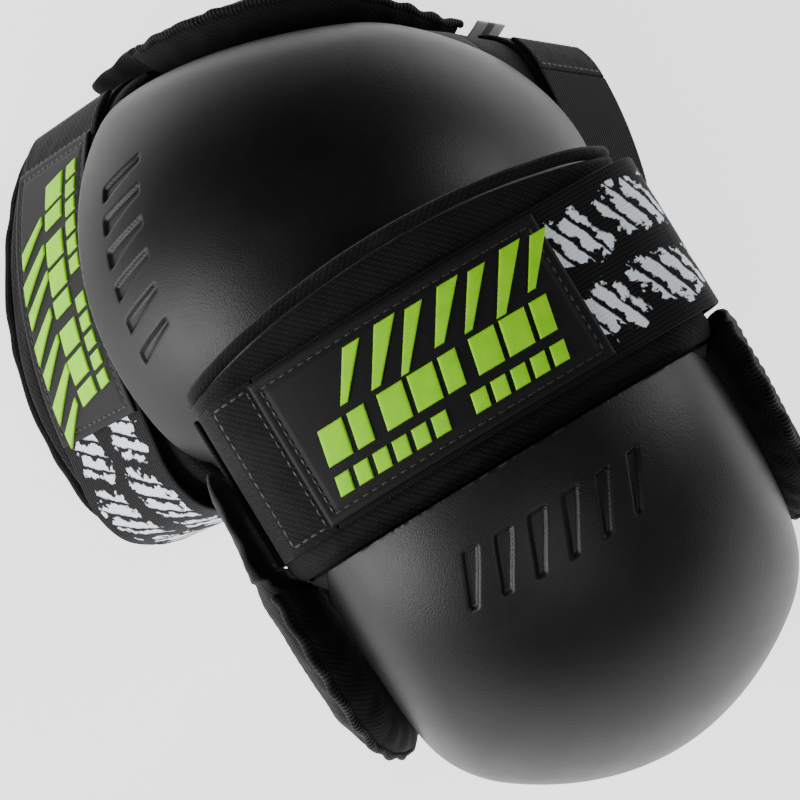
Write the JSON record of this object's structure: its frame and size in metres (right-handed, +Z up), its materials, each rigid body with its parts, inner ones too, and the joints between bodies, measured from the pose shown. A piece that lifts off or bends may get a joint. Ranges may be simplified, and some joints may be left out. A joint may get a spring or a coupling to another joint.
{
  "type": "knee pads",
  "caption": "Pair of hard-cap knee pads: bent padded sleeves with domed caps, twill side panels and elastic hook-and-loop straps, one leaning on the other.",
  "frame": {"origin": "on the floor under the middle of the pair's bounding box", "axes": "+Z up from the floor; the right pad's thigh end points to -X and its free strap ends to +Y; the left pad leans over it from -Y"},
  "size_m": [0.2491, 0.2717, 0.1963],
  "materials": {
    "cap_plastic": "satin",
    "hook": "rough",
    "loop": "rough",
    "foam": "matte",
    "twill": "matte",
    "neoprene": "matte",
    "lining": "matte",
    "binding": "matte",
    "elastic": "matte",
    "patch_rubber": "matte",
    "tag": "matte"
  },
  "bodies": {
    "right_knee": {"right_cap": "cap_plastic", "right_cap_hook_pads": "hook", "right_knee_loop_panel": "loop", "right_knee_shell_foam": "foam", "right_knee_foam": "foam", "right_knee_cover": "twill", "right_side_panel_lateral": "twill", "right_side_panel_medial": "twill", "right_side_foams": "foam", "right_edge_bindings": "binding", "right_knee_liner": "lining", "right_knee_sleeve": "neoprene", "right_shin_foam": "foam", "right_shin_cover": "twill", "right_shin_cuff": "binding", "right_lower_strap_rear": "elastic", "right_lower_loop_panel": "loop", "right_size_tag": "tag"},
    "right_thigh": {"right_thigh_foam": "foam", "right_thigh_cover": "twill", "right_thigh_piping": "binding", "right_thigh_sleeve": "neoprene", "right_upper_strap_rear": "elastic", "right_upper_loop_panel": "loop"},
    "right_upper_flap": {"right_upper_strap_front": "elastic", "right_upper_hook_tab": "hook", "right_upper_patch": "patch_rubber"},
    "right_lower_flap": {"right_lower_strap_front": "elastic", "right_lower_hook_tab": "hook"},
    "left_knee": {"left_cap": "cap_plastic", "left_cap_hook_pads": "hook", "left_knee_loop_panel": "loop", "left_knee_shell_foam": "foam", "left_knee_foam": "foam", "left_knee_cover": "twill", "left_side_panel_lateral": "twill", "left_side_panel_medial": "twill", "left_side_foams": "foam", "left_edge_bindings": "binding", "left_knee_liner": "lining", "left_knee_sleeve": "neoprene", "left_shin_foam": "foam", "left_shin_cover": "twill", "left_shin_cuff": "binding", "left_lower_strap_rear": "elastic", "left_lower_loop_panel": "loop", "left_size_tag": "tag"},
    "left_thigh": {"left_thigh_foam": "foam", "left_thigh_cover": "twill", "left_thigh_piping": "binding", "left_thigh_sleeve": "neoprene", "left_upper_strap_rear": "elastic", "left_upper_loop_panel": "loop"},
    "left_upper_flap": {"left_upper_strap_front": "elastic", "left_upper_hook_tab": "hook", "left_upper_patch": "patch_rubber"},
    "left_lower_flap": {"left_lower_strap_front": "elastic", "left_lower_hook_tab": "hook"}
  },
  "joints": [
    {"name": "right_thigh_flex", "type": "hinge", "parent": "right_knee", "child": "right_thigh", "pos_m": [-0.07955, 0.0548, 0.08278], "axis": [0, 1, 0], "range_deg": [0, 20], "stiffness_Nm_per_rad": 8},
    {"name": "right_upper_flap_open", "type": "hinge", "parent": "right_thigh", "child": "right_upper_flap", "pos_m": [-0.07409, -0.0216, 0.0379], "axis": [0.5878, 0, 0.809], "range_deg": [0, 100]},
    {"name": "right_lower_flap_open", "type": "hinge", "parent": "right_knee", "child": "right_lower_flap", "pos_m": [0.06246, -0.0141, 0.03224], "axis": [0.6428, 0, -0.766], "range_deg": [0, 35]},
    {"name": "left_thigh_flex", "type": "hinge", "parent": "left_knee", "child": "left_thigh", "pos_m": [0.02393, -0.04281, 0.18117], "axis": [0.9436, 0.3192, 0.0875], "range_deg": [0, 20], "stiffness_Nm_per_rad": 8},
    {"name": "left_upper_flap_open", "type": "hinge", "parent": "left_thigh", "child": "left_upper_flap", "pos_m": [0.08689, 0.01616, 0.16021], "axis": [-0.3265, 0.9411, 0.0879], "range_deg": [0, 110]},
    {"name": "left_lower_flap_open", "type": "hinge", "parent": "left_knee", "child": "left_lower_flap", "pos_m": [0.1107, -0.04476, 0.03998], "axis": [0.0263, -0.3359, 0.9415], "range_deg": [0, 60]},
    {"name": "left_pad_lift", "type": "slide", "parent": "right_knee", "child": "left_knee", "axis": [0, 0, 1], "range_m": [0, 0.25]}
  ]
}
